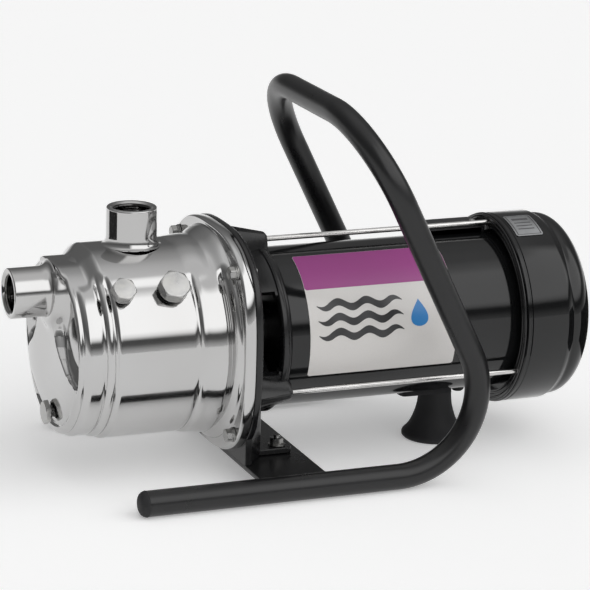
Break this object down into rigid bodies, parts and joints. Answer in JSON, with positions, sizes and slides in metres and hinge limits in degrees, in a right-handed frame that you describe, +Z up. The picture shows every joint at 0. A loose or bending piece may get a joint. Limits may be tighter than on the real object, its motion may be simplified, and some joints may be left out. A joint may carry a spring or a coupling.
{
  "type": "shallow well jet pump",
  "caption": "Portable shallow well jet pump: polished stainless pump end with threaded ports on a closed black motor, held by a bent tube that forms both skids and the carry handle.",
  "frame": {"origin": "on the ground, under the middle of the whole pump's length and width", "axes": "+X from the suction port to the motor's rear cover, +Y to the side away from the plugs, +Z up"},
  "size_m": [0.5248, 0.2722, 0.3293],
  "materials": {
    "polished_stainless": "polished",
    "stamped_stainless": "satin",
    "zinc_steel": "zinc plated",
    "bright_steel": "ground",
    "gloss_black_paint": "gloss",
    "cast_black_paint": "painted satin",
    "satin_black_paint": "satin",
    "black_rubber": "matte",
    "black_plastic": "satin",
    "grey_plastic": "satin",
    "brass": "machined",
    "copper_winding": "enamelled",
    "core_iron": "laminated",
    "seal_ceramic": "ground",
    "label_sheet": "printed film",
    "silver_sheet": "satin"
  },
  "bodies": {
    "pump": {"pump_casing": "polished_stainless", "suction_port": "polished_stainless", "discharge_port": "polished_stainless", "seal_plate": "stamped_stainless", "flange_bolt_1": "zinc_steel", "flange_bolt_2": "zinc_steel", "flange_bolt_3": "zinc_steel", "flange_bolt_4": "zinc_steel", "foot_bolt_near": "zinc_steel", "foot_bolt_far": "zinc_steel", "foot_nut_near": "zinc_steel", "foot_nut_far": "zinc_steel", "tie_rod_1": "zinc_steel", "tie_rod_2": "zinc_steel", "tie_rod_3": "zinc_steel", "tie_rod_nut_1": "zinc_steel", "tie_rod_nut_2": "zinc_steel", "tie_rod_nut_3": "zinc_steel", "front_bearing": "bright_steel", "rear_bearing": "bright_steel", "motor_shell": "gloss_black_paint", "rear_cover": "gloss_black_paint", "adapter_bracket": "cast_black_paint", "rear_shield": "cast_black_paint", "frame_tube": "satin_black_paint", "cross_bar": "satin_black_paint", "rear_foot": "black_rubber", "frame_cap_near": "black_rubber", "frame_cap_far": "black_rubber", "cord_gland": "black_rubber", "casing_gasket": "black_rubber", "terminal_cover": "black_plastic", "start_switch": "black_plastic", "start_capacitor": "black_plastic", "diffuser": "grey_plastic", "venturi": "grey_plastic", "jet_nozzle": "brass", "front_winding": "copper_winding", "rear_winding": "copper_winding", "stator_core": "core_iron", "shaft_seal_seat": "seal_ceramic", "motor_label": "label_sheet", "rating_plate": "silver_sheet"},
    "rotor": {"motor_shaft": "bright_steel", "rotor_core": "core_iron", "impeller": "grey_plastic", "impeller_nut": "brass", "shaft_seal_rotary": "black_rubber", "cooling_fan": "black_plastic", "governor": "black_plastic"},
    "priming_plug": {"priming_plug": "zinc_steel", "priming_plug_seal": "black_rubber"},
    "vent_plug": {"vent_plug": "zinc_steel", "vent_plug_seal": "black_rubber"},
    "drain_plug": {"drain_plug": "zinc_steel", "drain_plug_seal": "black_rubber"}
  },
  "joints": [
    {"name": "rotor_spin", "type": "hinge", "parent": "pump", "child": "rotor", "pos_m": [0, 0, 0.117], "axis": [1, 0, 0], "continuous": true},
    {"name": "priming_plug_out", "type": "slide", "parent": "pump", "child": "priming_plug", "axis": [0, -0.7337, 0.6794], "range_m": [0, 0.03]},
    {"name": "vent_plug_out", "type": "slide", "parent": "pump", "child": "vent_plug", "axis": [0, -0.7337, 0.6794], "range_m": [0, 0.03]},
    {"name": "drain_plug_out", "type": "slide", "parent": "pump", "child": "drain_plug", "axis": [-1, 0, 0], "range_m": [0, 0.03]}
  ]
}
